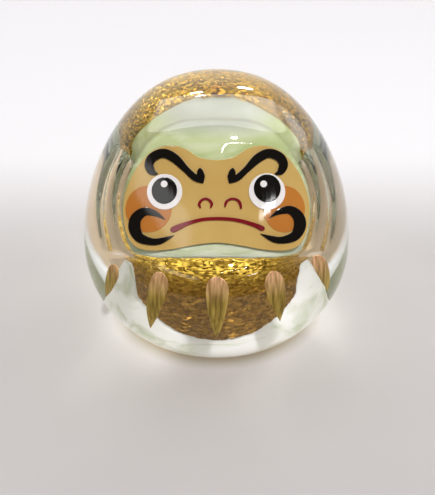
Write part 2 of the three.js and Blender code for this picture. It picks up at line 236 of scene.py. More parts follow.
def pressed(points):
    """The body's points with the face pressed in: the facet, and the belly's lip below it."""
    x, y, z = points.T
    rise = math.sin(FACET_LEAN) * (z - FACET_CENTRE[2]) + crown_drop(x)
    facet = FACET_CENTRE[1] + rise / math.cos(FACET_LEAN)
    arch = (LIP["half_span"] ** 2 + LIP["sag"] ** 2) / (2 * LIP["sag"])
    lip = LIP["height"] - arch + np.sqrt(np.maximum(arch**2 - x**2, 0))
    facet = facet - LIP["push"] * np.clip((lip - z) / LIP["slope"], 0, 1)
    across, up, _ = facet_coordinates(np.stack([x, facet, z], 1))
    from_groove = (outline_share(BACKING_HALF, across, up) - GROOVE["at"]) / GROOVE["half_width"]
    groove = GROOVE["depth"] * smoothstep((GROOVE["ends"] - up) / GROOVE["fade"])
    facet = facet + groove * np.exp(-(from_groove**2))
    higher = smoothstep((z - FACET_BROW["start"]) / FACET_BROW["over"])
    lower = smoothstep((lip + LIP["over"] / 2 - z) / LIP["over"])
    rounding = FACET_EDGE + FACET_BROW["more"] * higher + LIP["round"] * lower
    return creased(np.stack([x, smooth_max(y, facet, rounding), z], 1))


def creased(points):
    """The points with a crease round the lobes at the sides of the face."""
    across, up, _ = facet_coordinates(points)
    from_crease = (outline_share(BACKING_HALF, across, up) - CREASE["at"]) / CREASE["half_width"]
    front = smoothstep(-points[:, 1] / CREASE["fade"])
    beside = smoothstep((CREASE["high"] - up) / CREASE["fade"])
    beside *= smoothstep((up - CREASE["low"]) / CREASE["fade"])
    depth = CREASE["depth"] * front * beside * np.exp(-(from_crease**2))
    inward = 1 - depth / np.maximum(np.hypot(points[:, 0], points[:, 1]), 1)
    return points * np.stack([inward, inward, np.ones(len(points))], 1)


# ---- glass, milk glass and leaf -----------------------------------------------------------


def make_casing(material):
    profile = relaxed(egg_profile(BODY, CASING_MESH["spacing"]), CASING_MESH["relaxing"])
    points, faces = revolved(profile, CASING_MESH["columns"])
    casing = add_piece(
        "clear_glass", pressed(points), faces, material, ["clear_glass_casing"]
    )
    casing.visible_shadow = False


@functools.lru_cache
def core_line():
    """A smooth line through the core's outline: its heights and its radii."""
    line, _ = catmull_rom(CORE_OUTLINE, 300)
    return line[:, 0], line[:, 1]


def core_radius(z):
    """The core's radius at each height, closed at the top."""
    heights, radii = core_line()
    closing = np.sqrt(np.clip((CORE_TOP - z) / (CORE_TOP - heights[-1]), 0, 1))
    return np.where(z > heights[-1], radii[-1] * closing, np.interp(z, heights, radii))


@functools.lru_cache
def outline_reach(half):
    """A half outline's angles from straight up, and its reach at each."""
    edge, _ = catmull_rom(half, 120)
    return np.arctan2(edge[:, 0], edge[:, 1]), np.hypot(edge[:, 0], edge[:, 1])


def outline_share(half, across, up):
    """1 on the mirrored outline given by its half, less inside it, more outside."""
    angle, reach = outline_reach(tuple(half))
    return np.hypot(across, up) / np.interp(np.arctan2(np.abs(across), up), angle, reach)


def core_depth(points):
    """Negative inside the milk glass: the core itself and the swelling behind the face."""
    from_axis = np.hypot(points[:, 0], points[:, 1])
    above = np.maximum(points[:, 2] - CORE_TOP, 0)
    egg = np.hypot(from_axis, above) - core_radius(np.minimum(points[:, 2], CORE_TOP))
    across, up, height = facet_coordinates(points)
    outline = outline_share(BACKING_HALF, across, up)
    shell = np.sqrt(outline**2 + (np.minimum(height, 0) / BACKING["depth"]) ** 2) - 1
    front = height + CLEAR_OVER_BACKING
    swelling = smooth_max(shell * BACKING["reach"], front, BACKING["rim"])
    return smooth_max(smooth_min(egg, swelling, BACKING["joint"]), front, BACKING["front"])


def core_surface(polar, turn):
    """The core's outermost points along rays from its middle."""
    rays = np.stack(
        [np.sin(polar) * np.sin(turn), -np.sin(polar) * np.cos(turn), np.cos(polar)], -1
    )
    rays = rays.reshape(-1, 3)
    far = np.full(len(rays), SEARCH["far"])
    step = SEARCH["step"]
    searching = np.ones(len(rays), bool)
    while searching.any() and far.min() > step:
        inside = core_depth(CORE_MIDDLE + rays * (far - step)[:, None]) < 0
        searching &= ~inside
        far = np.where(searching, far - step, far)
    near = far - step
    for _ in range(SEARCH["halvings"]):
        half = (near + far) / 2
        inside = core_depth(CORE_MIDDLE + rays * half[:, None]) < 0
        near = np.where(inside, half, near)
        far = np.where(inside, far, half)
    points = CORE_MIDDLE + rays * near[:, None]
    points[:, 2] = np.maximum(points[:, 2], CORE_FOOT)
    return points.reshape(*polar.shape, 3)


def core_grid(rows, columns):
    """The core's surface ring by ring from foot to top."""
    polar = np.linspace(math.pi, 0, rows + 1)
    turn = np.linspace(0, 2 * math.pi, columns, endpoint=False)
    return core_surface(*np.meshgrid(polar, turn, indexing="ij"))


def make_core(material):
    grid = core_grid(*CORE_GRID)
    rows, columns, _ = grid.shape
    rings = grid[1:-1].reshape(-1, 3)
    points = np.vstack([rings, grid[0, 0], grid[-1, 0]])
    _, faces = revolved(np.zeros((rows, 2)), columns)      # only for how the points are joined
    add_piece("milk_glass", points, faces, material, ["milk_glass_core"])


def hash_noise(points, scale):
    """Smooth noise of about -1 to 1, the same on every run."""
    p = points * scale
    total = np.zeros(len(p))
    for turn in range(5):
        a, b, c = np.sin(np.array([1.7, 2.9, 4.1]) * (turn + 1)) * 3.3
        wave = np.sin(p @ np.array([a, b, c]) + turn) * np.cos(p @ np.array([c, -a, b]) - turn)
        total += wave
    return total / 2.2


def bare(points):
    """Whether the crown's leaf leaves the core bare at each point."""
    across, up, height = facet_coordinates(points)
    ragged = hash_noise(points, 0.8)
    edge = 1 + LEAF_RAGGED["window"] * ragged
    window = (outline_share(WINDOW_HALF, across, up) < edge) & (height > -WINDOW_DEPTH)
    return window | (points[:, 2] < LEAF_WAIST + LEAF_RAGGED["waist"] * ragged)


def crown_grid(rows, columns):
    """The core's surface from its top down to the leaf's edge, column by column."""
    polar = np.linspace(0, math.pi / 2, 181)      # half a degree apart
    turn = np.linspace(0, 2 * math.pi, columns, endpoint=False)
    surface = core_surface(*np.meshgrid(polar, turn, indexing="ij"))
    first = bare(surface.reshape(-1, 3)).reshape(len(polar), columns).argmax(0)
    covered, edge = polar[first - 1], polar[first]
    for _ in range(6):        # each turn halves the step that the edge lies in
        half = (covered + edge) / 2
        outside = bare(core_surface(half, turn))
        edge = np.where(outside, half, edge)
        covered = np.where(outside, covered, half)
    share = np.linspace(0.004, 1, rows)           # all but a pinhole at the top
    return core_surface(np.outer(share, covered), np.tile(turn, (rows, 1)))


def belly_grid(rows, columns):
    """The core's surface from the belly's seam down to the leaf patch's rounded hem."""
    turn = np.linspace(0, 2 * math.pi, columns, endpoint=False)
    across = core_radius(LEAF_PATCH["top"]) * np.sin(turn)
    seam = LEAF_SEAM["height"] - LEAF_SEAM["sag"] * (across / LEAF_SEAM["half_width"]) ** 2
    from_middle = np.clip(np.abs(across) / LEAF_PATCH["half_width"], 0, 1)
    hem = LEAF_PATCH["top"] - LEAF_PATCH["drop"] * np.sqrt(1 - from_middle**2)
    hem += LEAF_RAGGED["hem"] * hash_noise(np.stack([across, turn * 3, hem], 1), 0.4)
    z = seam + np.outer(np.linspace(0, 1, rows), hem - seam)
    radius = core_radius(z)
    return np.stack([radius * np.sin(turn), -radius * np.cos(turn), z], 2)


def make_leaf():
    """Two crackled skins of gold flakes over the core, open at the face."""
    skins = (
        ("crown", crown_grid(*CROWN_GRID), gold_leaf("crown_leaf", CROWN_GLINT)),
        ("belly", belly_grid(*BELLY_GRID), gold_leaf("belly_leaf", BELLY_GLINT)),
    )
    for side, grid, material in skins:
        points, faces = foil(grid)
        add_piece(f"gold_leaf_{side}", points, faces, material, smooth=False)


def foil(grid):
    """A closed skin over a ring-by-ring grid, its outside jittered so that every flake tilts."""
    rows, columns, _ = grid.shape
    flat = grid.reshape(-1, 3)
    outward = flat - CORE_MIDDLE
    outward /= np.linalg.norm(outward, axis=1)[:, None]
    jitter = RANDOM.normal(0, LEAF_JITTER, len(flat))
    inner = flat + outward * LEAF_GAP
    outer = flat + outward * (LEAF_GAP + LEAF_THICKNESS + jitter)[:, None]
    count = len(flat)
    faces = []
    for column in range(columns):
        after = (column + 1) % columns
        for row in range(rows - 1):
            a, b = row * columns + column, row * columns + after
            faces.append((a, b, b + columns, a + columns))
            faces.append((a + count + columns, b + count + columns, b + count, a + count))
        last = (rows - 1) * columns
        faces.append((column + count, after + count, after, column))
        faces.append((column + last, after + last, after + last + count, column + last + count))
    return np.vstack([inner, outer]), faces


# ---- flat outlines laid on a surface ------------------------------------------------------


def catmull_rom(points, steps):
    """A smooth line through the points, and its direction, at even shares of the way."""
    points = np.asarray(points, float)
    padded = np.vstack([points[0], points, points[-1]])
    places, slopes = [], []
    for share in np.linspace(0, len(points) - 1, steps + 1):
        i = min(int(share), len(points) - 2)
        t = share - i
        p0, p1, p2, p3 = padded[i : i + 4]
        v0, v1 = (p2 - p0) / 2, (p3 - p1) / 2
        places.append(
            (2 * p1 - 2 * p2 + v0 + v1) * t**3 + (-3 * p1 + 3 * p2 - 2 * v0 - v1) * t**2 + v0 * t + p1
        )
        slopes.append(
            (6 * p1 - 6 * p2 + 3 * v0 + 3 * v1) * t**2 + (-6 * p1 + 6 * p2 - 4 * v0 - 2 * v1) * t + v0
        )
    return np.array(places), np.array(slopes)


def brush_outline(points, inset, steps=60):
    """The outline of a brush stroke through points (x, y, width), drawn in by inset."""
    line, slope = catmull_rom(points, steps)
    along = slope[:, :2] / np.linalg.norm(slope[:, :2], axis=1)[:, None]
    side = np.stack([along[:, 1], -along[:, 0]], 1)
    half = np.maximum(line[:, 2], 0.02) / 2
    half = half - np.minimum(inset, half * 0.6)
    right = line[:, :2] + side * half[:, None]
    left = line[:, :2] - side * half[:, None]
    return np.vstack([right, left[::-1]])


def disc_outline(x, y, radius_x, radius_y, inset, steps=96):
    turn = np.linspace(0, 2 * math.pi, steps, endpoint=False)
    return np.stack(
        [x + (radius_x - inset) * np.cos(turn), y + (radius_y - inset) * np.sin(turn)], 1
    )


def cross(a, b):
    return a[..., 0] * b[..., 1] - a[..., 1] * b[..., 0]


def crossing(start, end, outline):
    """Where the segment first crosses the outline: (share of the segment, edge number)."""
    following = np.roll(outline, -1, 0)
    along, edge = end - start, following - outline
    area = cross(along, edge)
    area = np.where(np.abs(area) < 1e-12, 1e-12, area)
    share = cross(outline - start, edge) / area
    place = cross(outline - start, along) / area
    hits = np.flatnonzero((share >= 0) & (share < 1) & (place >= 0) & (place < 1))
    if not len(hits):
        return None
    first = hits[np.argmin(share[hits])]
    return share[first], first


def joined(outline, barb):
    """The outline with the barb's outer part let into it. Both run the same way round."""
    leave = rejoin = None
    for i in range(len(outline)):
        hit = crossing(outline[i], outline[(i + 1) % len(outline)], barb)
        if hit and leave is None:
            leave = (i, hit)
        elif hit:
            rejoin = (i, hit)
    (i, (share, edge)), (j, (_, last)) = leave, rejoin
    meeting = outline[i] + share * (outline[i + 1] - outline[i])
    around = [barb[(edge + 1 + k) % len(barb)] for k in range((last - edge) % len(barb))]
    return np.vstack([outline[: i + 1], meeting, around, outline[j + 1 :]])


def drawn_in(outline, inset):
    """A smooth closed outline moved inwards."""
    along = np.roll(outline, -1, 0) - np.roll(outline, 1, 0)
    along /= np.linalg.norm(along, axis=1)[:, None]
    inward = np.stack([-along[:, 1], along[:, 0]], 1)
    return outline + inward * inset


def slab(lower, upper, low, high, rounding, spacing):
    """A closed slab between two matching outlines, cut into strips so that it can be bent."""
    bm = bmesh.new()
    levels = [(lower, low), (lower, high - rounding), (upper, high)]
    loops = [[bm.verts.new((x, y, z)) for x, y in outline] for outline, z in levels]
    count = len(lower)
    for below, above in zip(loops, loops[1:]):
        for i in range(count):
            j = (i + 1) % count
            bm.faces.new((below[i], below[j], above[j], above[i]))
    bm.faces.new(loops[0][::-1])
    bm.faces.new(loops[-1])
    bm.normal_update()
    bmesh.ops.triangulate(bm, faces=bm.faces[:])
    for axis in range(len(spacing)):
        if not spacing[axis]:
            continue
        values = [v.co[axis] for v in bm.verts]
        normal = Vector([float(i == axis) for i in range(3)])
        for place in np.arange(min(values) + spacing[axis] / 2, max(values), spacing[axis]):
            bmesh.ops.bisect_plane(
                bm,
                geom=bm.verts[:] + bm.edges[:] + bm.faces[:],
                plane_co=normal * place,
                plane_no=normal,
            )
    bmesh.ops.triangulate(bm, faces=bm.faces[:])
    bm.verts.index_update()
    points = np.array([v.co[:] for v in bm.verts])
    faces = [tuple(v.index for v in face.verts) for face in bm.faces]
    bm.free()
    return points, faces


def add_enamel(name, outline, coat, paints, paint):
    """One coat on the facet. outline(inset) gives its edge."""
    low = COAT["gap"] + COATS[coat] * (COAT["gap"] + COAT["thickness"])
    high = low + COAT["thickness"]
    lower, upper = outline(0), outline(COAT["round"])
    points, faces = slab(lower, upper, low, high, COAT["round"], COAT["strips"])
    bent = on_facet(*points.T)
    add_piece(name, bent, faces, paints[paint], smooth=False)


# ---- the face -----------------------------------------------------------------------------

GROUND_HALF = [
    (3.5, 11.0), (6.6, 12.9), (10.2, 13.5), (14.2, 11.9), (17.8, 7.2), (19.6, 1.8),
    (19.3, -3.6), (17.5, -7.1), (14.4, -8.3), (9.6, -8.1), (4.6, -7.2),
]
EYES = dict(
    left=dict(x=-10.7, y=3.9, white=3.7, pupil=2.65, pupil_y=4.15, glint_x=-10.7, cheek=4.9),
    right=dict(x=10.5, y=3.95, white=3.8, pupil=2.8, pupil_y=4.6, glint_x=9.7, cheek=4.4),
)
BROW = [
    (12.1, 7.6, 0.3), (13.3, 8.2, 1.5), (13.9, 9.7, 1.9), (13.0, 11.2, 2.0),
    (10.8, 11.9, 1.9), (8.5, 10.8, 1.9), (6.2, 8.5, 1.35), (4.3, 6.7, 1.3), (2.7, 5.6, 0.1),
]
BROW_BARB = [(2.7, 5.6, 0.2), (3.1, 6.8, 1.6), (3.3, 8.2, 1.2), (3.3, 8.8, 0.2)]
MOUSTACHE = [
    (10.5, -1.9, 0.1), (12.5, -0.65, 1.1), (14.8, -0.2, 1.8), (16.6, -1.5, 2.4),
    (17.0, -3.5, 2.6), (15.9, -5.6, 2.1), (13.2, -6.5, 1.5), (11.1, -6.2, 1.2), (8.7, -5.2, 0.1),
]
MOUSTACHE_SHIFT = dict(left=(0, 0), right=(0.4, 0.35))
NOSTRILS = dict(
    left=[
        (-3.2, 0.5, 0.3), (-3.5, 1.3, 0.6), (-3.0, 2.1, 0.55), (-2.2, 2.4, 0.5), (-1.4, 2.1, 0.55),
        (-0.9, 1.3, 0.6), (-1.2, 0.5, 0.3),
    ],
    right=[
        (1.8, 0.7, 0.3), (2.0, 1.6, 0.6), (2.6, 2.2, 0.55), (3.5, 2.4, 0.5), (4.4, 2.1, 0.55),
        (4.9, 1.4, 0.6), (5.1, 0.3, 0.4),
    ],
)
MOUTH = [
    (-9.3, -4.3, 0.5), (-8.7, -3.9, 1.25), (-5.9, -2.7, 0.85), (-2.9, -1.9, 0.7), (0.6, -1.7, 0.7),
    (4.2, -2.0, 0.75), (7.5, -2.9, 0.85), (9.4, -3.7, 1.05), (9.9, -4.0, 0.4),
]
GROUND_BROW = 10.4            # the skin's edge on the middle line, between the brows
GROUND_CHIN = -6.7            # and at the chin
CHEEK = dict(across=14.2, up=0.35, radius_up=4.9)
GLINT = dict(up=5.5, radius=0.7)
PUPIL_TALL = 1.04


def mirrored(points):
    return [(-x, *rest) for x, *rest in points]


def make_face(paints):
    brow, chin = (0, GROUND_BROW), (0, GROUND_CHIN)
    ring = [brow, *GROUND_HALF, chin, *mirrored(GROUND_HALF)[::-1], brow]
    ground, _ = catmull_rom(ring, 200)
    ground = ground[:-1][::-1]
    add_enamel("face_ground", lambda inset: drawn_in(ground, inset), "ground", paints, "skin")
    add_brush_mark("mouth", MOUTH, paints, "red")
    for side, sign in (("left", -1), ("right", 1)):
        make_eye(side, sign, paints)
        make_hair(side, paints)
        add_brush_mark(f"nostril_{side}", NOSTRILS[side], paints, "red")


def add_brush_mark(name, line, paints, paint):
    add_enamel(name, lambda inset: brush_outline(line, inset), "ink", paints, paint)


def make_eye(side, sign, paints):
    eye = EYES[side]
    discs = dict(
        cheek=(sign * CHEEK["across"], CHEEK["up"], eye["cheek"], CHEEK["radius_up"]),
        eye_white=(eye["x"], eye["y"], eye["white"], eye["white"]),
        pupil=(eye["x"], eye["pupil_y"], eye["pupil"], eye["pupil"] * PUPIL_TALL),
        eye_glint=(eye["glint_x"], GLINT["up"], GLINT["radius"], GLINT["radius"]),
    )
    looks = (
        ("cheek", "cheek", "blush"),
        ("eye_white", "eye_white", "white"),
        ("pupil", "ink", "black"),
        ("eye_glint", "glint", "white"),
    )
    for mark, coat, paint in looks:
        disc = discs[mark]
        add_enamel(f"{mark}_{side}", lambda inset: disc_outline(*disc, inset), coat, paints, paint)


def make_hair(side, paints):
    shift_x, shift_y = MOUSTACHE_SHIFT[side]
    curl = [(x + shift_x, y + shift_y, width) for x, y, width in MOUSTACHE]
    brow, barb = BROW, BROW_BARB
    if side == "left":
        curl, brow, barb = mirrored(curl), mirrored(brow), mirrored(barb)

    def brow_outline(inset):
        whole = joined(brush_outline(brow, 0), brush_outline(barb, 0, 24))
        return whole if not inset else drawn_in(whole, inset)

    add_brush_mark(f"moustache_{side}", curl, paints, "black")
    add_enamel(f"eyebrow_{side}", brow_outline, "ink", paints, "black")


# ---- the belly's gold strokes -------------------------------------------------------------

# Each stroke's bearing round the belly, and its line as (across, height, width).
BELLY_STROKES = dict(
    far_left=(-47.5, [
        (2.5, 25.0, 0.4), (2.2, 24.3, 2.2), (1.3, 22.6, 3.4), (-0.6, 18.6, 2.4), (-2.6, 14.8, 0.1),
    ]),
    left=(-24.0, [
        (1.4, 26.8, 0.6), (1.2, 25.9, 3.0), (0.8, 23.4, 4.2), (-0.8, 17.0, 3.0), (-2.2, 11.6, 0.2),
    ]),
    centre=(0.0, [
        (0.1, 27.0, 0.6), (0.1, 26.0, 3.4), (0.2, 23.4, 4.7), (0.1, 17.0, 3.1), (0.0, 11.2, 0.2),
    ]),
    right=(23.5, [
        (-0.9, 27.0, 0.6), (-0.8, 26.0, 3.2), (-0.3, 23.4, 4.5), (0.7, 18.6, 3.0), (1.4, 14.2, 0.1),
    ]),
    far_right=(46.5, [
        (-2.7, 27.3, 0.4), (-2.2, 26.5, 2.2), (-0.4, 24.4, 3.7), (1.6, 20.4, 2.8), (2.9, 16.6, 0.1),
    ]),
)


def on_belly(bearing, across, z, height):
    """The points this far out from the body's side, across its bearing at each height."""
    radius = egg_radius(BODY, z)
    nudge = 0.05
    slope = (egg_radius(BODY, z + nudge) - egg_radius(BODY, z - nudge)) / (2 * nudge)
    steep = 1 / np.sqrt(1 + slope**2)
    turn = math.radians(bearing) + np.arcsin(np.clip(across / radius, -1, 1))
    out = radius + height * steep
    return np.stack([out * np.sin(turn), -out * np.cos(turn), z - height * slope * steep], 1)


def make_belly_strokes(material):
    low = STROKE["gap"]
    high = low + STROKE["thickness"]
    for side, (bearing, leaf) in BELLY_STROKES.items():
        lower, upper = brush_outline(leaf, 0), brush_outline(leaf, STROKE["round"])
        points, faces = slab(lower, upper, low, high, STROKE["round"], STROKE["strips"])
        bent = on_belly(bearing, *points.T)
        add_piece(f"belly_stroke_{side}", bent, faces, material, smooth=False)


# ---- materials ----------------------------------------------------------------------------

MIX_FIRST, MIX_SECOND, MIX_RESULT = 6, 7, 2      # a colour Mix node's own sockets

# Heights between which one tone gives way to the next.
# Below these heights the milk glass is painted paler: painted light, for the light that the glass
# gathers low down.
MILK_PAINTED_LIGHT_FADES = (16.0, 36.0)
MILK_THINS = (50.5, 53.0)
# Going up through these heights the leaf turns smoother and its colour is painted lighter: painted
# highlight above, painted shade below.
LEAF_PAINTED_LIGHT_AND_POLISH = (13.0, 22.0)
STROKE_COPPERS = (21.0, 27.0)

# The glowing patch of leaf on the upper belly: across and up.
GLEAM = dict(across=-3.0, inner=8.0, outer=17.0, low=15.5, high=21.0)
CROWN_GLINT = 0.55            # how strongly the leaf gives off light
BELLY_GLINT = 2.0
FLAKE_STRETCH = (0.6, 0.8, 1.8)


def new_material(name):
    """A material, its node tree and its shader."""
    material = bpy.data.materials.new(name)
    material.use_nodes = True
    tree = material.node_tree
    return material, tree, tree.nodes["Principled BSDF"]


def colour(code):
    """A linear colour from an sRGB hex code."""
    channels = [int(code[i : i + 2], 16) / 255 for i in (1, 3, 5)]
    linear = [c / 12.92 if c <= 0.04045 else ((c + 0.055) / 1.055) ** 2.4 for c in channels]
    return (*linear, 1.0)


def fill(tree, node, inputs):
    """Link or set the node's inputs: a socket is linked, and a value or hex colour is set."""
    for slot, value in inputs.items():
        if isinstance(value, bpy.types.NodeSocket):
            tree.links.new(value, node.inputs[slot])
        else:
            node.inputs[slot].default_value = colour(value) if isinstance(value, str) else value


def add_node(tree, kind, inputs=None, **settings):
    node = tree.nodes.new(f"ShaderNode{kind}")
    for name, value in settings.items():
        setattr(node, name, value)
    fill(tree, node, inputs or {})
    return node


def object_place(tree):
    return add_node(tree, "TexCoord").outputs["Object"]


def noise(tree, scale, detail=2.0, distortion=0.0, stretch=(1.0, 1.0, 1.0)):
    """Noise over the piece, its features drawn out along an axis by a smaller stretch."""
    place = add_node(tree, "Mapping", {"Vector": object_place(tree), "Scale": stretch})
    inputs = {"Scale": scale, "Detail": detail, "Distortion": distortion}
    return add_node(tree, "TexNoise", {"Vector": place.outputs["Vector"], **inputs})


def span_share(tree, value, start, end, smooth=False):
    """0 where the value is at start millimetres and 1 where it is at end."""
    inputs = {"Value": value, "From Min": start * MM, "From Max": end * MM}
    kind = "SMOOTHSTEP" if smooth else "LINEAR"
    return add_node(tree, "MapRange", inputs, interpolation_type=kind).outputs["Result"]


def axis_share(tree, axis, start, end, smooth=False):
    """0 at start millimetres along the axis and 1 at end."""
    split = add_node(tree, "SeparateXYZ", {"Vector": object_place(tree)})
    return span_share(tree, split.outputs[axis], start, end, smooth)


def tones(tree, value, dark, light, start=0.0, end=1.0):
    """A colour from dark to light as the value goes from start to end."""
    ramp = add_node(tree, "ValToRGB", {"Fac": value})
    first, last = ramp.color_ramp.elements
    first.position, last.position = start, end
    first.color, last.color = colour(dark), colour(light)
    return ramp.outputs["Color"]


def blend(tree, factor, first, second):
    """The first colour where the factor is 0 and the second where it is 1."""
    inputs = {"Factor": factor, MIX_FIRST: first, MIX_SECOND: second}
    return add_node(tree, "Mix", inputs, data_type="RGBA").outputs[MIX_RESULT]


def product(tree, first, second):
    return add_node(tree, "Math", {0: first, 1: second}, operation="MULTIPLY").outputs["Value"]


def clear_glass():
    """Clear glass with faint darker striae, and a skin that ripples a little, as worked hot."""
    material, tree, shader = new_material("clear_glass")
    striae = noise(tree, 50, detail=2, distortion=0.8, stretch=(1.0, 1.0, 3.0)).outputs["Fac"]
    ripple = add_node(tree, "Bump", {"Height": striae, "Strength": 0.35, "Distance": 0.1 * MM})
    fill(tree, shader, {
        "Base Color": tones(tree, striae, "#f7faf3", "#fefefc", 0.35, 0.6),
        "Normal": ripple.outputs["Normal"],
        "Roughness": 0.0,
        "IOR": 1.5,
        "Transmission Weight": 1.0,
    })
    return material


def milk_glass():
    """Marbled green-white glass, greyer where it thins at the top, and painted paler low down:
    a painted brightening for the light that the glass gathers there.
    """
    material, tree, shader = new_material("milk_glass")
    swirl = noise(tree, 90, detail=3, distortion=1.6, stretch=(0.5, 1.0, 2.2)).outputs["Fac"]
    green = tones(tree, swirl, "#9fac70", "#c4c8a6", 0.35, 0.68)
    # painted light: these paler tones low down stand for light that the glass gathers there
    painted_pale = tones(tree, swirl, "#c8d0b0", "#f5f5ee", 0.33, 0.5)
    upper = blend(tree, axis_share(tree, "Z", *MILK_THINS), green, "#a3a797")
    fill(tree, shader, {
        "Base Color": blend(tree, axis_share(tree, "Z", *MILK_PAINTED_LIGHT_FADES), painted_pale, upper),
        "Roughness": 0.45,
        "Specular IOR Level": 0.1,
    })
    return material


def gleam(tree):
    """1 where the leaf catches the light, high up near the middle, 0 low and at the sides."""
    split = add_node(tree, "SeparateXYZ", {"Vector": object_place(tree)})
    away = add_node(
        tree, "Math", {0: split.outputs["X"], 1: GLEAM["across"] * MM}, operation="SUBTRACT"
    )
    size = add_node(tree, "Math", {0: away.outputs["Value"]}, operation="ABSOLUTE")
    middle = span_share(tree, size.outputs["Value"], GLEAM["outer"], GLEAM["inner"], smooth=True)
    high = span_share(tree, split.outputs["Z"], GLEAM["low"], GLEAM["high"], smooth=True)
    return product(tree, middle, high)


def tilted(tree, normal, wander, amount):
    """The normal leaned by a colour that wanders about mid grey."""
    offset = add_node(
        tree, "VectorMath", {0: wander, 1: (0.5, 0.5, 0.5)}, operation="SUBTRACT"
    )
    inputs = {0: offset.outputs["Vector"], 1: (amount, amount, amount), 2: normal}
    return add_node(tree, "VectorMath", inputs, operation="MULTIPLY_ADD").outputs["Vector"]


def gold_leaf(name, glint):
    """Metal foil crackled into flakes, each tilted its own way, duller lower down. Its colour is
    painted browner lower down and lighter higher up: painted shade and painted highlight.
    A few flakes glow, by glint: painted glints for the light that the glass round them gathers.
    """
    material, tree, shader = new_material(name)
    place = add_node(tree, "Mapping", {"Vector": object_place(tree), "Scale": FLAKE_STRETCH})
    flakes = add_node(tree, "TexVoronoi", {"Vector": place.outputs["Vector"], "Scale": 2200})
    chance = add_node(tree, "SeparateColor", {"Color": flakes.outputs["Color"]})
    # painted light: going up, the leaf's colour turns from the shaded tone to the bright one, a
    # painted highlight, as its surface turns smoother
    painted_light_and_polish = axis_share(tree, "Z", *LEAF_PAINTED_LIGHT_AND_POLISH, smooth=True)
    painted_shade_tone = tones(tree, chance.outputs["Red"], "#775518", "#a87f32")
    bright = tones(tree, chance.outputs["Red"], "#84601a", "#eabe48")

    normal = add_node(tree, "NewGeometry").outputs["Normal"]
    normal = tilted(tree, normal, flakes.outputs["Color"], 0.6)
    normal = tilted(tree, normal, noise(tree, 300).outputs["Color"], 0.8)
    straight = add_node(tree, "VectorMath", {0: normal}, operation="NORMALIZE")

    sheen = add_node(tree, "MapRange", {"Value": painted_light_and_polish, "To Min": 0.45, "To Max": 0.16})
    catching = add_node(
        tree, "MapRange", {"Value": chance.outputs["Green"], "From Min": 0.45, "To Max": glint}
    )
    fill(tree, shader, {
        "Base Color": blend(tree, painted_light_and_polish, painted_shade_tone, bright),
        "Metallic": 1.0,
        "Roughness": sheen.outputs["Result"],
        "Normal": straight.outputs["Vector"],
        # painted glints: where gleam and the flakes allow, the leaf gives off light of its own
        "Emission Color": "#e8c455",
        "Emission Strength": product(tree, catching.outputs["Result"], gleam(tree)),
    })
    return material


def gold_paint():
    """Streaky metallic paint, coppery where the brush was set down and olive gold at its tip."""
    material, tree, shader = new_material("gold_paint")
    streaks = noise(tree, 420, detail=4, stretch=(4.0, 4.0, 0.35)).outputs["Fac"]
    olive = tones(tree, streaks, "#7c6628", "#c4a850", 0.35, 0.65)
    copper = tones(tree, streaks, "#c08e5c", "#ffcea0", 0.35, 0.65)
    fill(tree, shader, {
        "Base Color": blend(tree, axis_share(tree, "Z", *STROKE_COPPERS), olive, copper),
        "Metallic": 0.7,
        "Roughness": 0.38,
    })
    return material


def enamel(name, dark, light):
    material, tree, shader = new_material(f"enamel_{name}")
    cloud = noise(tree, 60, detail=4).outputs["Fac"]
    fill(tree, shader, {"Base Color": tones(tree, cloud, dark, light, 0.3, 0.7), "Roughness": 0.04})
    return material


def distance_share(tree, centre, inner, outer):
    """0 within inner millimetres of a point on the Y axis, 1 beyond outer."""
    inputs = {0: object_place(tree), 1: (0, centre * MM, 0)}
    reach = add_node(tree, "VectorMath", inputs, operation="DISTANCE")
    return span_share(tree, reach.outputs["Value"], inner, outer, smooth=True)


def floor_paper():
    """Pale paper: a warm shade behind the doll, a soft one under it, and white farther back."""
    material, tree, shader = new_material("floor_paper")
    near = tones(tree, noise(tree, 25).outputs["Fac"], "#c4c1bc", "#cfccc7")
    paper = blend(tree, axis_share(tree, "Y", *BACKDROP, smooth=True), near, "#fbfbfa")
    for shade, tint in ((CONTACT, "#8d8167"), (SHADE, "#bba27c")):
        paper = blend(tree, distance_share(tree, **shade), tint, paper)
    fill(tree, shader, {"Base Color": paper, "Roughness": 0.8})
    return material


# ---- the studio ---------------------------------------------------------------------------

# The camera stands in front of the doll and above it, looking down at it.
CAMERA = dict(distance=180.0, height=114.3, pitch=28.4, lens=61.16, side=0.25)
STUDIO_MIDDLE = 30.0
# Soft shades painted on the floor, behind the doll and under it.
SHADE = dict(centre=52.0, inner=22.0, outer=44.0)
CONTACT = dict(centre=0.0, inner=21.5, outer=27.0)
BACKDROP = (20.0, 110.0)      # where the floor pales towards the back
FLOOR = dict(size=8000.0, points=12, below=0.05)
# (bearing, elevation) of the small lamps behind the doll.
LAMPS = ((-150, 70), (165, 40), (200, 58))


def make_camera():
    camera = bpy.data.cameras.new("camera")
    camera.lens = CAMERA["lens"]
    camera.clip_start = 0.01
    holder = bpy.data.objects.new("camera", camera)
    holder.location = Vector((CAMERA["side"], -CAMERA["distance"], CAMERA["height"])) * MM
    holder.rotation_euler = (math.radians(90 - CAMERA["pitch"]), 0, 0)
    bpy.context.scene.collection.objects.link(holder)
    bpy.context.scene.camera = holder


def grid_faces(rows, columns):
    faces = []
    for row in range(rows - 1):
        for column in range(columns - 1):
            a = row * columns + column
            faces.append((a, a + 1, a + 1 + columns, a + columns))
    return faces


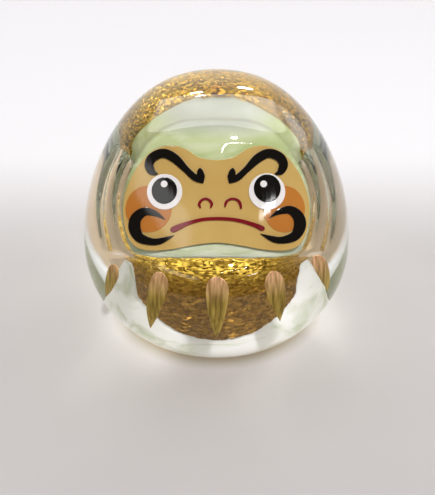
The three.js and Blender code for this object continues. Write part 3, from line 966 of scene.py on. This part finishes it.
def make_floor():
    count = FLOOR["points"]
    places = np.linspace(-FLOOR["size"] / 2, FLOOR["size"] / 2, count)
    points = [(x, y, -FLOOR["below"]) for y in places for x in places]
    mesh = bpy.data.meshes.new("floor")
    mesh.from_pydata((np.array(points) * MM).tolist(), [], grid_faces(count, count))
    mesh.materials.append(floor_paper())
    floor = bpy.data.objects.new("floor", mesh)
    bpy.context.scene.collection.objects.link(floor)


def facing(bearing, elevation):
    """The direction from the doll at this bearing (0 in front, 90 to the right) and height."""
    turn, lift = math.radians(bearing), math.radians(elevation)
    return Vector(
        (math.sin(turn) * math.cos(lift), -math.cos(turn) * math.cos(lift), math.sin(lift))
    )


def add_sun(bearing, elevation, spread, strength, tint):
    """Even light from far away."""
    light = bpy.data.lights.new("sun", "SUN")
    light.angle = math.radians(spread)
    light.energy = strength
    light.color = colour(tint)[:3]
    aimed(bpy.data.objects.new("sun", light), bearing, elevation, 600)


def aimed(holder, bearing, elevation, distance, roll=0):
    """Put a light or card out there and turn it to face the doll."""
    direction = facing(bearing, elevation)
    holder.location = (Vector((0, 0, STUDIO_MIDDLE)) + direction * distance) * MM
    spin = Quaternion(direction, math.radians(roll))
    holder.rotation_euler = (spin @ direction.to_track_quat("Z", "Y")).to_euler()
    bpy.context.scene.collection.objects.link(holder)
    return holder


def add_lamp(name, bearing, elevation, distance, width, height, radiance, roll=0):
    """A small bright lamp for glints, that matt surfaces don't see."""
    light = bpy.data.lights.new(name, "AREA")
    light.shape = "RECTANGLE"
    light.size = width * MM
    light.size_y = height * MM
    light.energy = radiance * math.pi * light.size * light.size_y
    lamp = aimed(bpy.data.objects.new(name, light), bearing, elevation, distance, roll)
    lamp.visible_diffuse = False


def glow(name, width, height, radiance, softness):
    """Light that fades out towards the card's edges."""
    material = bpy.data.materials.new(name)
    material.use_nodes = True
    tree = material.node_tree
    tree.nodes.remove(tree.nodes["Principled BSDF"])
    split = add_node(tree, "SeparateXYZ", {"Vector": object_place(tree)})
    strength = radiance
    for axis, extent in (("X", width), ("Y", height)):
        size = add_node(tree, "Math", {0: split.outputs[axis]}, operation="ABSOLUTE")
        edge = extent / 2
        fade = span_share(tree, size.outputs["Value"], edge, edge * (1 - softness), smooth=True)
        strength = product(tree, fade, strength)
    emission = add_node(tree, "Emission", {"Strength": strength})
    see_through = add_node(tree, "BsdfTransparent")
    inputs = {0: emission.outputs["Emission"], 1: see_through.outputs["BSDF"]}
    together = add_node(tree, "AddShader", inputs)
    fill(tree, tree.nodes["Material Output"], {"Surface": together.outputs["Shader"]})
    return material


def add_card(name, bearing, elevation, distance, width, height, radiance, softness, bend=0.0):
    """A glowing card that only polished surfaces see. bend moves its two ends along its height."""
    columns, rows = 25, 5
    points = []
    for y in np.linspace(-height / 2, height / 2, rows):
        for share in np.linspace(-1, 1, columns):
            points.append((share * width / 2 * MM, (y + bend * share**2) * MM, 0))
    mesh = bpy.data.meshes.new(name)
    mesh.from_pydata(points, [], grid_faces(rows, columns))
    mesh.materials.append(glow(name, width, height + 2 * bend, radiance, softness))
    card = aimed(bpy.data.objects.new(name, mesh), bearing, elevation, distance)
    card.visible_camera = False
    card.visible_diffuse = False
    card.visible_transmission = False
    card.visible_shadow = False


def make_world():
    """A warm room in front of the doll and a white backdrop behind it."""
    world = bpy.data.worlds.new("studio")
    world.use_nodes = True
    tree = world.node_tree
    place = add_node(tree, "TexCoord").outputs["Generated"]
    split = add_node(tree, "SeparateXYZ", {"Vector": place})
    inputs = {"Value": split.outputs["Y"], "From Min": -0.2, "From Max": 0.5}
    behind = add_node(tree, "MapRange", inputs).outputs["Result"]
    room = tones(tree, behind, "#6c6150", "#ffffff")
    fill(tree, tree.nodes["Background"], {"Color": room, "Strength": 0.9})
    world.cycles.sampling_method = "NONE"
    bpy.context.scene.world = world


def make_studio():
    make_camera()
    make_floor()
    make_world()
    add_sun(bearing=12, elevation=43.5, spread=3, strength=2.4, tint="#f6f4ff")
    add_card(
        "overhead", bearing=0, elevation=84, distance=300,
        width=640, height=320, radiance=3.5, softness=0.14, bend=225,
    )
    add_card(
        "overhead_right", bearing=90, elevation=50, distance=310,
        width=405, height=300, radiance=1.5, softness=0.5,
    )
    add_card(
        "right_window", bearing=110, elevation=28, distance=500,
        width=420, height=300, radiance=3.0, softness=0.6,
    )
    add_card(
        "left_window", bearing=-29, elevation=27.2, distance=500,
        width=300, height=46, radiance=2.1, softness=0.4,
    )
    add_card(
        "lamp", bearing=27.0, elevation=27.2, distance=500,
        width=80, height=12, radiance=50.0, softness=1.0,
    )
    add_lamp(
        "tube", bearing=13, elevation=35.9, distance=500,
        width=150, height=1.2, radiance=60.0, roll=3,
    )
    for bearing, elevation in LAMPS:
        add_lamp(
            f"lamp_{bearing}", bearing, elevation, distance=400,
            width=50, height=22, radiance=120.0,
        )
    bpy.context.scene.view_settings.view_transform = "Standard"


# ---- assembly -----------------------------------------------------------------------------

paints = dict(
    skin=enamel("skin", "#c8a35a", "#d3b56b"),
    blush=enamel("blush", "#b9722d", "#c68138"),
    white=enamel("white", "#eeece4", "#f8f6f0"),
    black=enamel("black", "#060606", "#0e0c0c"),
    red=enamel("red", "#6d0f1a", "#8a1622"),
)

make_studio()
make_core(milk_glass())
make_leaf()
make_casing(clear_glass())
make_face(paints)
make_belly_strokes(gold_paint())
